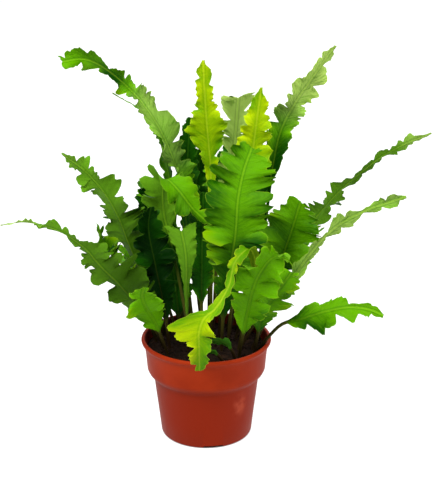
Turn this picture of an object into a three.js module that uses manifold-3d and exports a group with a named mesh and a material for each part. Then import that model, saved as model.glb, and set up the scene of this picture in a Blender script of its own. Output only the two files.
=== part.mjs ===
// A blue star fern with long, waved and notched fronds, in a round plastic nursery pot.
// Millimetres, +Z up. The origin is the centre of the pot's underside, and -Y is the front.

import * as THREE from "three";
import { mergeVertices } from "three/addons/utils/BufferGeometryUtils.js";
import Module from "manifold-3d";

const wasm = await Module();
wasm.setup();

// Pot: a thin wall of revolution with a rolled lip, a deep collar and a stepped foot
const POT_SIDES = 48;
const POT_HEIGHT = 94;
const LIP_RADIUS = 60;
const LIP_DROP = 3.4;
const COLLAR_TOP_RADIUS = 57.2;
const COLLAR_FOOT_RADIUS = 54.8;
const COLLAR_FOOT_Z = 67;
const STEP_FOOT_Z = 57;
const WALL_TOP_RADIUS = 48.8;
const FOOT_RADIUS = 42.4;
const FOOT_ROUNDING = 2.4;
const WALL = 1.2;
const FLOOR_TOP_Z = 4.2;

// Underside: a round boss and a foot ring with a shallow drainage ring between them
const RECESS = { inner: 14, outer: 36, height: 2.6, draft: 0.8 };
const NOTCH = { count: 3, firstDegrees: -81, width: 18, depth: 12 };
const DRAIN = { count: 6, radius: 3.2, ring: 25, sides: 10 };

// Soil: a plug that fills the pot to just under the lip, with an uneven top
const GAP = 0.3;
const SOIL_TOP_Z = 85;
const SOIL_SIDES = 24;
const SOIL_RINGS = [0.24, 0.48, 0.7, 0.88];
const SOIL_BUMP = 1.2;

// Fronds: a stalk that spreads into a thin blade, raised at its midrib, with lobed and waved edges
const STALK_RADIUS = 1.5;
const STALK_DEPTH = 12;
const STALK_ABOVE = 1.5;
const STALK_STEP = 17;
const HOLE_RADIUS = 2.1;
const HOLE_SIDES = 8;
const EDGE_HALF = 0.5;
const RIB_TOP = 0.7;
const RIB_UNDER = 1.15;
const LOBE_PITCH = 18;
const ROWS_PER_LOBE = 3;
const ROW_PITCH = 7;
const LOBE_UNEVEN = { cycles: 2.3, swing: 0.032 };
const SIDE_SHIFT = 1 / 3;
const LOBE_SWEEP = 0.3;
const BLADE_FOOT = 0.22;
const FULL_LOBES_FROM = 0.31;
const SINUS_SHARPNESS = 2.2;
const USUAL_NOTCH = 0.4;
const USUAL_WAVE = 5.5;
const WAVE_FULL_AT = 12;
const LEAST_HALF_WIDTH = 1;
const TIP_THINNING = 0.35;

const LEAF = { color: 0x4c9a14, roughness: 0.42 };
const YOUNG = { color: 0x9ccb1c, roughness: 0.45 };
const DARK = { color: 0x23690f, roughness: 0.4 };

// The fronds. root is where a stalk leaves the soil, and its midrib then runs through the points of via.
// bare is the length of the stalk below the blade, and widths are the blade's at even steps to its tip.
// facing is the direction in plan, in degrees from +X, that the upper side looks to on an upright blade.
// roll turns the blade about its midrib at its foot, middle and tip, and fold raises both edges, in degrees.
// lobe is the length of one lobe, where it isn't the usual one. lean is the share of its half width by which
// a blade is wider on its right side and narrower on its left.
const FRONDS = [
  {
    name: "left_high", kind: LEAF, root: [-12, 18],
    via: [[-19, 24, 160], [-22, 28, 227], [-43, 27, 286], [-70, 22, 324], [-102, 12, 349], [-124, 4, 349]],
    bare: 88, widths: [3, 20, 34, 38, 36, 32, 30, 24, 10, 22, 16],
    facing: -24, roll: [0, 0, 10, 60], fold: 24, lean: [-0.15, -0.15],
  },
  {
    name: "left_high_back", kind: LEAF, root: [-22, 30],
    via: [[-28, 42, 160], [-34, 48, 230], [-53, 48, 290], [-84, 42, 313]],
    bare: 100, widths: [3, 14, 22, 20, 16, 10, 3], facing: -30, roll: [0, 0, -30], fold: 14,
  },
  {
    name: "left_middle", kind: LEAF, root: [-36, 12],
    via: [[-50, 12, 130], [-68, 8, 176], [-82, 4, 216], [-101, -3, 248], [-125, -12, 272]],
    bare: 58, widths: [3, 28, 44, 46, 40, 34, 30, 18, 3], facing: 0, roll: [-40, -55, -65], fold: 12,
  },
  {
    name: "left_low", kind: LEAF, root: [-40, -3],
    via: [
      [-49, -12, 111], [-64, -22, 137], [-77, -34, 159], [-91, -46, 180], [-104, -54, 200],
      [-118, -61, 214], [-135, -67, 224], [-153, -72, 229], [-170, -78, 228],
    ],
    bare: 30, widths: [3, 34, 44, 46, 44, 36, 14, 12, 14, 10, 2],
    facing: 0, roll: [-60, -75, -75, -50, -20], fold: 10, lean: [-0.25, -0.25],
  },
  {
    name: "left_short", kind: LEAF, root: [-35, -22],
    via: [[-44, -28, 116], [-50, -38, 133], [-54, -47, 146], [-55, -53, 156], [-53, -58, 165]],
    bare: 24, widths: [3, 22, 32, 34, 24, 8], facing: -75, roll: [0, 0, 0], fold: 8,
  },
  {
    name: "left_dark_back", kind: DARK, root: [-28, 24],
    via: [[-44, 34, 140], [-54, 38, 190], [-52, 36, 234]],
    bare: 40, widths: [3, 30, 40, 38, 28, 4], facing: -60, roll: [0, 0, 0], fold: 12,
  },
  {
    name: "left_dark_inner", kind: DARK, root: [-24, 8],
    via: [[-27, 12, 126], [-31, 13, 170], [-32, 11, 204]],
    bare: 22, widths: [3, 30, 42, 42, 30, 6], facing: -80, roll: [0, 10, 20], fold: 16,
  },
  {
    name: "left_cupped", kind: DARK, root: [-34, -6],
    via: [[-39, -7, 130], [-46, -9, 170], [-51, -12, 204], [-48, -20, 226]],
    bare: 24, widths: [3, 22, 32, 40, 36, 26, 8], facing: -70, roll: [0, 0, 0], fold: 24,
  },
  {
    name: "left_crest", kind: LEAF, root: [-14, 0],
    via: [[-26, -2, 160], [-38, -4, 222], [-35, -11, 248], [-24, -20, 241], [-9, -25, 223], [6, -28, 211]],
    bare: 96, widths: [3, 20, 36, 40, 34, 18, 4], facing: 120, roll: [0, 0, 0], fold: 10,
  },
  {
    name: "middle_tall", kind: YOUNG, root: [4, 12],
    via: [[5, 20, 215], [4, 24, 251], [1, 20, 289], [-1, 13, 322], [-2, 6, 350]],
    bare: 130, widths: [3, 6, 10, 16, 28, 40, 26, 16, 16, 14, 3],
    facing: -90, roll: [0, 0, 0], fold: 12,
  },
  {
    name: "middle_dark", kind: DARK, root: [-4, 26],
    via: [[-17, 46, 211], [-17, 50, 253], [-14, 46, 290]],
    bare: 96, widths: [3, 22, 24, 20, 18, 8], facing: -90, roll: [0, 0, 0], fold: 12,
  },
  {
    name: "middle_dark_back", kind: DARK, root: [-16, 36],
    via: [[-17, 60, 180], [-10, 68, 218], [-4, 68, 260]],
    bare: 84, widths: [3, 20, 26, 22, 16, 3], facing: -90, roll: [0, 0, 0], fold: 14,
  },
  {
    name: "middle_grey", kind: LEAF, root: [12, 26],
    via: [[18, 38, 185], [24, 44, 246], [27, 42, 279], [29, 32, 312]],
    bare: 98, widths: [3, 20, 24, 24, 24, 30, 30], facing: 90, roll: [0, 0, 0], fold: 16,
  },
  {
    name: "middle_young", kind: YOUNG, root: [20, 2],
    via: [[30, 6, 190], [41, 6, 266], [48, -2, 328]],
    bare: 100, widths: [3, 16, 24, 34, 34, 28, 18, 3], facing: -90, roll: [0, 0, 0], fold: 12,
  },
  {
    name: "front_broad", kind: LEAF, root: [14, -12],
    via: [[16, -18, 128], [21, -28, 170], [26, -34, 205], [28, -35, 237], [33, -31, 262], [40, -25, 281]],
    bare: 30, widths: [3, 14, 24, 34, 48, 56, 60, 60, 58, 46, 20],
    facing: -90, roll: [0, 0, 0], fold: 8,
  },
  {
    name: "inner_dark", kind: DARK, root: [-4, -2],
    via: [[-4, -4, 150], [-3, -6, 200], [-2, -10, 236]],
    bare: 40, widths: [3, 22, 30, 32, 24, 6], facing: -90, roll: [0, 0, 0], fold: 20,
  },
  {
    name: "front_funnel", kind: LEAF, root: [-16, -24],
    via: [[-17, -38, 150], [-17, -47, 190], [-21, -45, 214]],
    bare: 42, widths: [3, 4, 6, 12, 20, 28, 34], facing: 90, roll: [0, 0, 0], fold: 34,
  },
  {
    name: "front_arching", kind: YOUNG, root: [30, -10],
    via: [
      [38, -26, 140], [43, -42, 182], [37, -55, 199], [25, -67, 191], [20, -77, 174], [9, -88, 158],
      [-1, -94, 151], [-5, -96, 140], [-5, -95, 123], [-5, -90, 101],
    ],
    bare: 84, widths: [3, 8, 10, 12, 11, 8, 8, 10, 12, 42, 20, 17, 8], facing: 90,
    roll: [0, 0, 0], fold: 8, lean: [0, 0, 0, 0, 0, 0, 0, 0, 0, 0.35, 0, 0, 0],
  },
  {
    name: "right_high", kind: LEAF, root: [28, 16],
    via: [
      [45, 20, 142], [55, 24, 204], [60, 24, 247], [67, 22, 284], [79, 16, 311], [94, 10, 336],
      [111, 5, 363],
    ],
    bare: 150, widths: [3, 14, 22, 26, 26, 24, 22, 16, 3], facing: -130, roll: [0, -20, -80], fold: 12,
  },
  {
    name: "right_dark_back", kind: DARK, root: [22, 26],
    via: [[42, 44, 195], [56, 50, 243], [62, 50, 280]],
    bare: 92, widths: [3, 14, 18, 16, 12, 3], facing: -90, roll: [0, 0, 0], fold: 12,
  },
  {
    name: "right_long", kind: LEAF, root: [38, 14],
    via: [[60, 20, 132], [82, 20, 176], [118, 12, 228], [160, 0, 269], [195, -12, 290]],
    bare: 62, widths: [3, 24, 34, 36, 30, 20, 12, 9, 14, 12, 2],
    facing: 180, roll: [40, 50, 60], fold: 12,
  },
  {
    name: "right_cupped", kind: LEAF, root: [34, 0],
    via: [[53, 0, 126], [66, 0, 163], [76, -2, 195], [84, -7, 227]],
    bare: 44, widths: [3, 26, 44, 58, 60, 48, 22], facing: -100, roll: [0, 0, 0], fold: 22,
  },
  {
    name: "right_thin", kind: LEAF, root: [43, -7],
    via: [[60, -14, 126], [80, -22, 164], [110, -34, 209], [136, -43, 229], [170, -52, 245]],
    bare: 50, widths: [3, 10, 12, 14, 8, 10, 4, 16, 16, 4, 10, 12, 3],
    facing: 180, roll: [-40, -60, -60], fold: 12,
  },
  {
    name: "right_broad", kind: LEAF, root: [44, -18],
    via: [[51, -28, 127], [63, -36, 152], [75, -42, 173]],
    bare: 22, widths: [3, 22, 34, 38, 32, 16], facing: -80, roll: [0, 0, 0], fold: 8,
  },
  {
    name: "right_front", kind: LEAF, root: [30, -26],
    via: [[37, -40, 135], [42, -54, 165], [49, -62, 184], [56, -70, 196], [66, -78, 203]],
    bare: 24, widths: [3, 24, 38, 42, 40, 30, 18], facing: -90, roll: [0, 0, 0], fold: 16,
  },
  {
    name: "right_low", kind: LEAF, root: [47, -14],
    via: [
      [68, -22, 115], [84, -34, 125], [105, -45, 137], [126, -52, 144], [143, -55, 143],
      [155, -56, 138],
    ],
    bare: 42, widths: [3, 12, 26, 34, 28, 30, 10, 12, 4],
    facing: 160, roll: [-20, -50, -50], fold: 6, lobe: 34, lean: [0.2, 0.2],
  },
  {
    name: "small_one", kind: DARK, root: [27, -38],
    via: [[22, -41, 100], [14, -44, 108], [4, -46, 110]],
    bare: 14, widths: [3, 12, 14, 3], facing: 0, roll: [0, -20, -20], fold: 8, lobe: 12,
  },
  {
    name: "small_two", kind: DARK, root: [17, -45],
    via: [[11, -47, 96], [2, -49, 101], [-8, -49, 100]],
    bare: 12, widths: [3, 10, 12, 3], facing: 0, roll: [0, -20, -20], fold: 8, lobe: 12,
  },
  {
    name: "left_lower", kind: LEAF, root: [-47, 9],
    via: [[-56, 2, 118], [-72, -7, 152], [-86, -15, 182], [-96, -23, 206]],
    bare: 20, widths: [3, 24, 34, 38, 32, 14], facing: -30, roll: [-20, -30, -30], fold: 12,
  },
  {
    name: "back_one", kind: LEAF, root: [20, 36],
    via: [[34, 62, 150], [44, 88, 208], [52, 122, 236]],
    bare: 66, widths: [3, 28, 38, 38, 30, 18, 3], facing: -115, roll: [0, 0, 0], fold: 12,
  },
  {
    name: "back_two", kind: LEAF, root: [2, 40],
    via: [[2, 68, 146], [-2, 98, 200], [-8, 136, 220]],
    bare: 66, widths: [3, 28, 40, 38, 32, 18, 3], facing: -88, roll: [0, 0, 0], fold: 12,
  },
  {
    name: "back_three", kind: LEAF, root: [-20, 42],
    via: [[-34, 66, 140], [-50, 92, 188], [-66, 122, 210]],
    bare: 60, widths: [3, 24, 38, 38, 30, 18, 3], facing: -60, roll: [0, 0, 0], fold: 12,
  },
  {
    name: "back_left", kind: LEAF, root: [-40, 26],
    via: [[-58, 48, 124], [-76, 58, 150], [-92, 62, 164]],
    bare: 44, widths: [3, 24, 36, 36, 28, 16, 3], facing: -25, roll: [-10, -20, -20], fold: 12,
  },
  {
    name: "back_right", kind: LEAF, root: [40, 26],
    via: [[62, 42, 128], [88, 56, 160], [112, 64, 178]],
    bare: 46, widths: [3, 24, 32, 32, 26, 16, 3], facing: 205, roll: [10, 10, 10], fold: 12,
  },
  {
    name: "back_right_low", kind: LEAF, root: [28, 34],
    via: [[40, 50, 108], [56, 70, 126], [78, 92, 140], [104, 112, 136]],
    bare: 40, widths: [3, 24, 36, 32, 22, 3], facing: 225, roll: [0, 0, 0], fold: 12,
  },
  {
    name: "back_low", kind: YOUNG, root: [4, 44],
    via: [[4, 58, 108], [5, 80, 126], [6, 108, 140], [8, 136, 134]],
    bare: 40, widths: [3, 22, 32, 32, 22, 3], facing: -92, roll: [0, 0, 0], fold: 12,
  },
  {
    name: "back_left_low", kind: LEAF, root: [-33, 31],
    via: [[-44, 47, 108], [-60, 66, 124], [-81, 88, 134], [-104, 108, 128]],
    bare: 40, widths: [3, 24, 36, 32, 22, 3], facing: -45, roll: [0, 0, 0], fold: 12,
  },
  {
    name: "back_upright", kind: DARK, root: [6, 32],
    via: [[12, 66, 178], [20, 86, 228], [24, 98, 256]],
    bare: 80, widths: [3, 28, 36, 32, 24, 3], facing: -90, roll: [0, 0, 0], fold: 12,
  },
  {
    name: "back_right_high", kind: LEAF, root: [32, 28],
    via: [[54, 44, 150], [70, 55, 180], [86, 66, 196]],
    bare: 56, widths: [3, 24, 30, 28, 22, 3], facing: -130, roll: [0, 0, 0], fold: 12,
  },
  {
    name: "back_left_high", kind: LEAF, root: [-26, 40],
    via: [[-38, 56, 148], [-46, 67, 180], [-57, 79, 200]],
    bare: 56, widths: [3, 28, 36, 32, 24, 3], facing: -50, roll: [0, 0, 0], fold: 12,
  },
];

const DEGREES = Math.PI / 180;

// A number from 0 to 1 that looks random but is always the same for the same n
function scatter(n) {
  const value = Math.sin(n * 12.9898) * 43758.5453;
  return value - Math.floor(value);
}

function mix(a, b, share) {
  return a + (b - a) * share;
}

function clamp01(value) {
  return Math.min(1, Math.max(0, value));
}

// The value at share of a list of even steps, on smooth slopes between them
function alongList(list, share) {
  const place = clamp01(share) * (list.length - 1);
  const step = Math.min(list.length - 2, Math.floor(place));
  const part = place - step;
  return mix(list[step], list[step + 1], part * part * (3 - 2 * part));
}

function geometryOf(coordinates, faces) {
  const geometry = new THREE.BufferGeometry();
  geometry.setAttribute("position", new THREE.Float32BufferAttribute(coordinates, 3));
  geometry.setIndex(Array.from(faces));
  geometry.computeVertexNormals();
  return geometry;
}

// Solid geometry to and from closed bodies, for cutting holes
function toBody(geometry) {
  const bare = geometry.clone();
  bare.deleteAttribute("normal");
  bare.deleteAttribute("uv");
  const merged = mergeVertices(bare, 1e-4);
  const vertProperties = new Float32Array(merged.attributes.position.array);
  const triVerts = new Uint32Array(merged.index.array);
  return new wasm.Manifold(new wasm.Mesh({ numProp: 3, vertProperties, triVerts }));
}

function toGeometry(body) {
  const mesh = body.getMesh();
  return geometryOf(mesh.vertProperties, mesh.triVerts);
}

function makeMesh(name, geometry, look) {
  const mesh = new THREE.Mesh(geometry, new THREE.MeshStandardMaterial({ metalness: 0, ...look }));
  mesh.name = name;
  return mesh;
}

// A lathe runs round +Y, so its result is stood up along +Z
function latheUpright(profile, sides) {
  const points = profile.map(([radius, z]) => new THREE.Vector2(radius, z));
  return new THREE.LatheGeometry(points, sides).rotateX(Math.PI / 2);
}

function uprightPost(radius, sides, x, y, low, high) {
  const post = new THREE.CylinderGeometry(radius, radius, high - low, sides).rotateX(Math.PI / 2);
  return post.translate(x, y, (low + high) / 2);
}

// The pot's wall, whose inside follows its outside a wall's thickness in
function potProfile() {
  const { inner, outer, height, draft } = RECESS;
  const rounding = [0, 30, 60, 90].map((angle) => [
    FOOT_RADIUS - FOOT_ROUNDING + FOOT_ROUNDING * Math.sin(angle * DEGREES),
    FOOT_ROUNDING - FOOT_ROUNDING * Math.cos(angle * DEGREES),
  ]);
  return [
    [0, 0], [inner, 0], [inner + draft, height], [outer - draft, height], [outer, 0],
    ...rounding,
    [WALL_TOP_RADIUS, STEP_FOOT_Z],
    [mix(WALL_TOP_RADIUS, COLLAR_FOOT_RADIUS, 0.55), mix(STEP_FOOT_Z, COLLAR_FOOT_Z, 0.42)],
    [COLLAR_FOOT_RADIUS, COLLAR_FOOT_Z],
    [COLLAR_TOP_RADIUS, POT_HEIGHT - LIP_DROP - WALL],
    [LIP_RADIUS - WALL / 2, POT_HEIGHT - LIP_DROP],
    [LIP_RADIUS, POT_HEIGHT - LIP_DROP / 2],
    [LIP_RADIUS - WALL / 2, POT_HEIGHT],
    [COLLAR_TOP_RADIUS - WALL / 2, POT_HEIGHT],
    ...insideProfile(0).reverse(),
  ];
}

// The pot's inside from its floor's middle up to the collar, moved in by gap
function insideProfile(gap) {
  const wallSlope = (WALL_TOP_RADIUS - FOOT_RADIUS) / STEP_FOOT_Z;
  const inset = WALL + gap;
  return [
    [0, FLOOR_TOP_Z + gap],
    [FOOT_RADIUS + wallSlope * FLOOR_TOP_Z - inset, FLOOR_TOP_Z + gap],
    [WALL_TOP_RADIUS - inset, STEP_FOOT_Z],
    [mix(WALL_TOP_RADIUS, COLLAR_FOOT_RADIUS, 0.55) - inset, mix(STEP_FOOT_Z, COLLAR_FOOT_Z, 0.48)],
    [COLLAR_FOOT_RADIUS - inset, COLLAR_FOOT_Z + WALL / 2],
    [COLLAR_TOP_RADIUS - inset, POT_HEIGHT - WALL],
  ];
}

function potGeometry() {
  let pot = toBody(latheUpright(potProfile(), POT_SIDES));
  for (let i = 0; i < NOTCH.count; i++) {
    const angle = (NOTCH.firstDegrees + (360 / NOTCH.count) * i) * DEGREES;
    const height = RECESS.height + 1;
    const notch = new THREE.BoxGeometry(NOTCH.depth, NOTCH.width, height);
    notch.translate(FOOT_RADIUS - NOTCH.depth / 2 + 2, 0, RECESS.height - height / 2).rotateZ(angle);
    pot = pot.subtract(toBody(notch));
  }
  for (let i = 0; i < DRAIN.count; i++) {
    const angle = ((i + 0.5) / DRAIN.count) * 2 * Math.PI;
    const x = DRAIN.ring * Math.cos(angle);
    const y = DRAIN.ring * Math.sin(angle);
    pot = pot.subtract(toBody(uprightPost(DRAIN.radius, DRAIN.sides, x, y, 1, FLOOR_TOP_Z + 1)));
  }
  return toGeometry(pot);
}

// The soil's uneven top, with a plain hole for each stalk
function soilGeometry() {
  const side = insideProfile(GAP).slice(0, -1);
  const [footRadius, footZ] = side.at(-1);
  const slope = (COLLAR_TOP_RADIUS - COLLAR_FOOT_RADIUS) / (POT_HEIGHT - COLLAR_FOOT_Z);
  const topRadius = footRadius + slope * (SOIL_TOP_Z - footZ);
  const top = [...SOIL_RINGS].reverse().map((share) => [topRadius * share, SOIL_TOP_Z]);
  const profile = [...side, [topRadius, SOIL_TOP_Z], ...top, [0, SOIL_TOP_Z]];
  const plug = latheUpright(profile, SOIL_SIDES);
  const place = plug.attributes.position;
  for (let i = 0; i < place.count; i++) {
    const radius = Math.hypot(place.getX(i), place.getY(i));
    if (place.getZ(i) > SOIL_TOP_Z - 0.01 && radius < topRadius - 0.01) {
      const spot = Math.round(place.getX(i)) * 31 + Math.round(place.getY(i)) * 17;
      place.setZ(i, SOIL_TOP_Z + SOIL_BUMP * (2 * scatter(spot) - 1));
    }
  }
  let soil = toBody(plug);
  for (const { root } of FRONDS) {
    const low = SOIL_TOP_Z - STALK_DEPTH - GAP;
    const hole = uprightPost(HOLE_RADIUS, HOLE_SIDES, root[0], root[1], low, SOIL_TOP_Z + 6);
    soil = soil.subtract(toBody(hole));
  }
  return toGeometry(soil);
}

// Lobes are longer and shorter along a blade, as they grow
function unevenShare(evenShare, seed) {
  const swing = Math.sin(2 * Math.PI * (LOBE_UNEVEN.cycles * evenShare + scatter(seed)));
  return evenShare + LOBE_UNEVEN.swing * swing * Math.sin(Math.PI * evenShare);
}

// One side's edge at a blade's length: how far the lobe reaches, and how high its wave stands
function edgeAt(seed, side, lobePlace, share) {
  const place = lobePlace + (side > 0 ? SIDE_SHIFT : 0);
  const lobe = Math.floor(place);
  const within = place - lobe;
  const leaning = (within + within * within) / 2;
  const sinus = Math.pow(1 - Math.sin(Math.PI * leaning), SINUS_SHARPNESS);
  const own = scatter(seed + lobe * 3.7 + side * 11.3);
  const fade = Math.min(1, share / FULL_LOBES_FROM);
  const notch = USUAL_NOTCH * mix(0.4, 1.7, own * own) * fade;
  const reach = 1 - notch * sinus + mix(-0.05, 0.05, own) * fade;
  const phase = Math.PI * (place + 0.5 * scatter(seed + side * 5.1));
  const wave = USUAL_WAVE * fade * Math.sin(phase) * mix(0.6, 1.3, own);
  return { reach, wave };
}

// The point on a frond's midrib at a share of its length, and the frame that its blade lies in there
function frameAt(frond, curve, share) {
  const tangent = curve.getTangentAt(share);
  const facing = frond.facing * DEGREES;
  const across = new THREE.Vector3(-Math.sin(facing), Math.cos(facing), 0);
  across.addScaledVector(tangent, -across.dot(tangent)).normalize();
  across.applyAxisAngle(tangent, -alongList(frond.roll, share) * DEGREES);
  const up = new THREE.Vector3().crossVectors(across, tangent);
  return { point: curve.getPointAt(share), across, up, tangent };
}

// A row across the frond at its right edge, midrib and left edge, and how far it is thick each way
function rowOf({ point, across, up, tangent }, right, left, halves) {
  const edgePoint = (edge, sign) => point.clone()
    .addScaledVector(across, sign * edge.out)
    .addScaledVector(up, edge.rise)
    .addScaledVector(tangent, edge.sweep);
  return { points: [edgePoint(right, 1), point, edgePoint(left, -1)], ...halves };
}

function stalkRow(frame) {
  const edge = { out: STALK_RADIUS * Math.cos(Math.PI / 6), rise: 0, sweep: 0 };
  const halves = { edgeHalf: STALK_RADIUS / 2, ribTop: STALK_RADIUS, ribUnder: STALK_RADIUS };
  return rowOf(frame, edge, edge, halves);
}

function bladeRow(frond, frame, seed, lobePlace, share) {
  const half = alongList(frond.widths, share) / 2;
  const fold = frond.fold * DEGREES;
  const lean = alongList(frond.lean ?? [0, 0], share);
  const [right, left] = [1, -1].map((side) => {
    const { reach, wave } = edgeAt(seed, side, lobePlace, share);
    const out = Math.max(half * reach * (1 + side * lean), LEAST_HALF_WIDTH);
    const rise = out * Math.sin(fold) + wave * Math.min(1, out / WAVE_FULL_AT);
    return { out: out * Math.cos(fold), rise, sweep: out * LOBE_SWEEP };
  });
  const slim = clamp01(share / BLADE_FOOT);
  const tip = 1 - TIP_THINNING * share;
  return rowOf(frame, right, left, {
    edgeHalf: mix(STALK_RADIUS / 2, EDGE_HALF, slim),
    ribTop: mix(STALK_RADIUS, RIB_TOP, slim) * tip,
    ribUnder: mix(STALK_RADIUS, RIB_UNDER, slim) * tip,
  });
}

// The directions square to the blade's middle surface at each point of its rows
function surfaceNormals(rows) {
  const faces = [];
  for (let i = 0; i + 1 < rows.length; i++) {
    const [right, rib, left] = [3 * i, 3 * i + 1, 3 * i + 2];
    faces.push(right, rib + 3, rib, right, right + 3, rib + 3);
    faces.push(left, rib, rib + 3, left, rib + 3, left + 3);
  }
  const coordinates = rows.flatMap((row) => row.points).flatMap((point) => point.toArray());
  const normal = geometryOf(coordinates, faces).attributes.normal;
  const normalAt = (corner) => new THREE.Vector3().fromBufferAttribute(normal, corner);
  return rows.map((_, i) => [0, 1, 2].map((j) => normalAt(3 * i + j)));
}

// Six corners a row, joined by faces. Upper and lower ones are split alike, from edge to midrib.
function thickened(rows) {
  const normals = surfaceNormals(rows);
  const corners = rows.flatMap(({ points, edgeHalf, ribTop, ribUnder }, i) => {
    const [right, rib, left] = points;
    const [rightUp, ribUp, leftUp] = normals[i];
    const lifted = (point, up, height) => point.clone().addScaledVector(up, height);
    return [
      lifted(right, rightUp, edgeHalf), lifted(rib, ribUp, ribTop), lifted(left, leftUp, edgeHalf),
      lifted(left, leftUp, -edgeHalf), lifted(rib, ribUp, -ribUnder), lifted(right, rightUp, -edgeHalf),
    ];
  });
  const count = 6;
  const faces = [];
  for (let i = 0; i + 1 < rows.length; i++) {
    for (let j = 0; j < count; j++) {
      const a = i * count + j;
      const b = i * count + (j + 1) % count;
      const startsAtEdge = j === 0 || j === 3;
      if (startsAtEdge) faces.push(a, b + count, b, a, a + count, b + count);
      else faces.push(a, a + count, b, b, a + count, b + count);
    }
  }
  const last = (rows.length - 1) * count;
  for (const [a, b, c, d] of [[0, 1, 4, 5], [1, 2, 3, 4]]) {
    faces.push(a, b, c, a, c, d);
    faces.push(last + a, last + c, last + b, last + a, last + d, last + c);
  }
  return geometryOf(corners.flatMap((corner) => corner.toArray()), faces);
}

function frondGeometry(frond, seed) {
  const [x, y] = frond.root;
  const start = new THREE.Vector3(x, y, SOIL_TOP_Z + STALK_ABOVE);
  const points = [start, ...frond.via.map((point) => new THREE.Vector3(...point))];
  const curve = new THREE.CatmullRomCurve3(points, false, "centripetal");
  const length = curve.getLength();
  const upright = frameAt(frond, new THREE.LineCurve3(start, start.clone().setZ(start.z + 1)), 0);
  const buried = { ...upright, point: start.clone().setZ(SOIL_TOP_Z - STALK_DEPTH) };
  const rows = [stalkRow(buried), stalkRow(upright)];
  const steps = Math.max(1, Math.round(frond.bare / STALK_STEP));
  for (let i = 1; i <= steps; i++) {
    rows.push(stalkRow(frameAt(frond, curve, (frond.bare / length) * (i / steps))));
  }
  const pitch = frond.lobe ?? LOBE_PITCH;
  const lobes = Math.max(2, Math.round((length - frond.bare) / pitch));
  const count = lobes * Math.max(ROWS_PER_LOBE, Math.round(pitch / ROW_PITCH));
  for (let i = 1; i <= count; i++) {
    const share = unevenShare(i / count, seed);
    const frame = frameAt(frond, curve, mix(frond.bare / length, 1, share));
    rows.push(bladeRow(frond, frame, seed, (i / count) * lobes, share));
  }
  return thickened(rows);
}

const fern = new THREE.Group();
fern.add(makeMesh("pot", potGeometry(), { color: 0x94321d, roughness: 0.45 }));
fern.add(makeMesh("soil", soilGeometry(), { color: 0x1d120b, roughness: 1 }));
FRONDS.forEach((frond, index) => {
  fern.add(makeMesh(`frond_${frond.name}`, frondGeometry(frond, index + 1), frond.kind));
});

export default fern;
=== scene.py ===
import math

import bpy
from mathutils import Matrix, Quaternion, Vector, noise


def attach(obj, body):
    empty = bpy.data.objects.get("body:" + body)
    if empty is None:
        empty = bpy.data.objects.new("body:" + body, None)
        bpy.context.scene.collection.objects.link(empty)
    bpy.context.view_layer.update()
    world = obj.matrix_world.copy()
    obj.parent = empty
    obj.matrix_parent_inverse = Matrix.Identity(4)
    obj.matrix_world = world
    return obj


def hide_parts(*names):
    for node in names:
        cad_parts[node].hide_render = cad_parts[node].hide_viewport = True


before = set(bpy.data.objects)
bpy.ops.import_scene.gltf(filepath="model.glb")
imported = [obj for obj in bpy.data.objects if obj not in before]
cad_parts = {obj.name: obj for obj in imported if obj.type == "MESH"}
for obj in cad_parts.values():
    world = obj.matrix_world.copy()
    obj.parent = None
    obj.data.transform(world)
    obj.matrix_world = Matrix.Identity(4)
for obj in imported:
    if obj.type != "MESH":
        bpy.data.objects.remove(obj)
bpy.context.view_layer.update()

mm = 0.001


# small helpers

def deselectAll():
    if bpy.context.object and bpy.context.object.mode != "OBJECT":
        bpy.ops.object.mode_set(mode="OBJECT")
    bpy.ops.object.select_all(action="DESELECT")


def pick(obj):
    deselectAll()
    obj.select_set(True)
    bpy.context.view_layer.objects.active = obj


def editAll(obj):
    pick(obj)
    bpy.ops.object.mode_set(mode="EDIT")
    bpy.ops.mesh.select_all(action="SELECT")


def applyModifier(obj, kind, **settings):
    pick(obj)
    modifier = obj.modifiers.new(kind.title(), kind)
    for key, value in settings.items():
        setattr(modifier, key, value)
    bpy.ops.object.modifier_apply(modifier=modifier.name)


def placeVertices(obj, points):
    obj.data.vertices.foreach_set("co", [value for point in points for value in point])
    obj.data.update()


def srgb(red, green, blue):
    linear = [c / 255 / 12.92 if c < 10.3 else ((c / 255 + 0.055) / 1.055) ** 2.4 for c in (red, green, blue)]
    return (*linear, 1)


def grey(level):
    return (level, level, level, 1)


def mix(a, b, share):
    return a + (b - a) * share


def clamp01(value):
    return min(1.0, max(0.0, value))


def smooth(low, high, value):
    t = clamp01((value - low) / (high - low))
    return t * t * (3 - 2 * t)


# A number from 0 to 1 that looks random but is always the same for the same n
def scatter(n):
    value = math.sin(n * 12.9898) * 43758.5453
    return value - math.floor(value)


# node helpers

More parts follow.
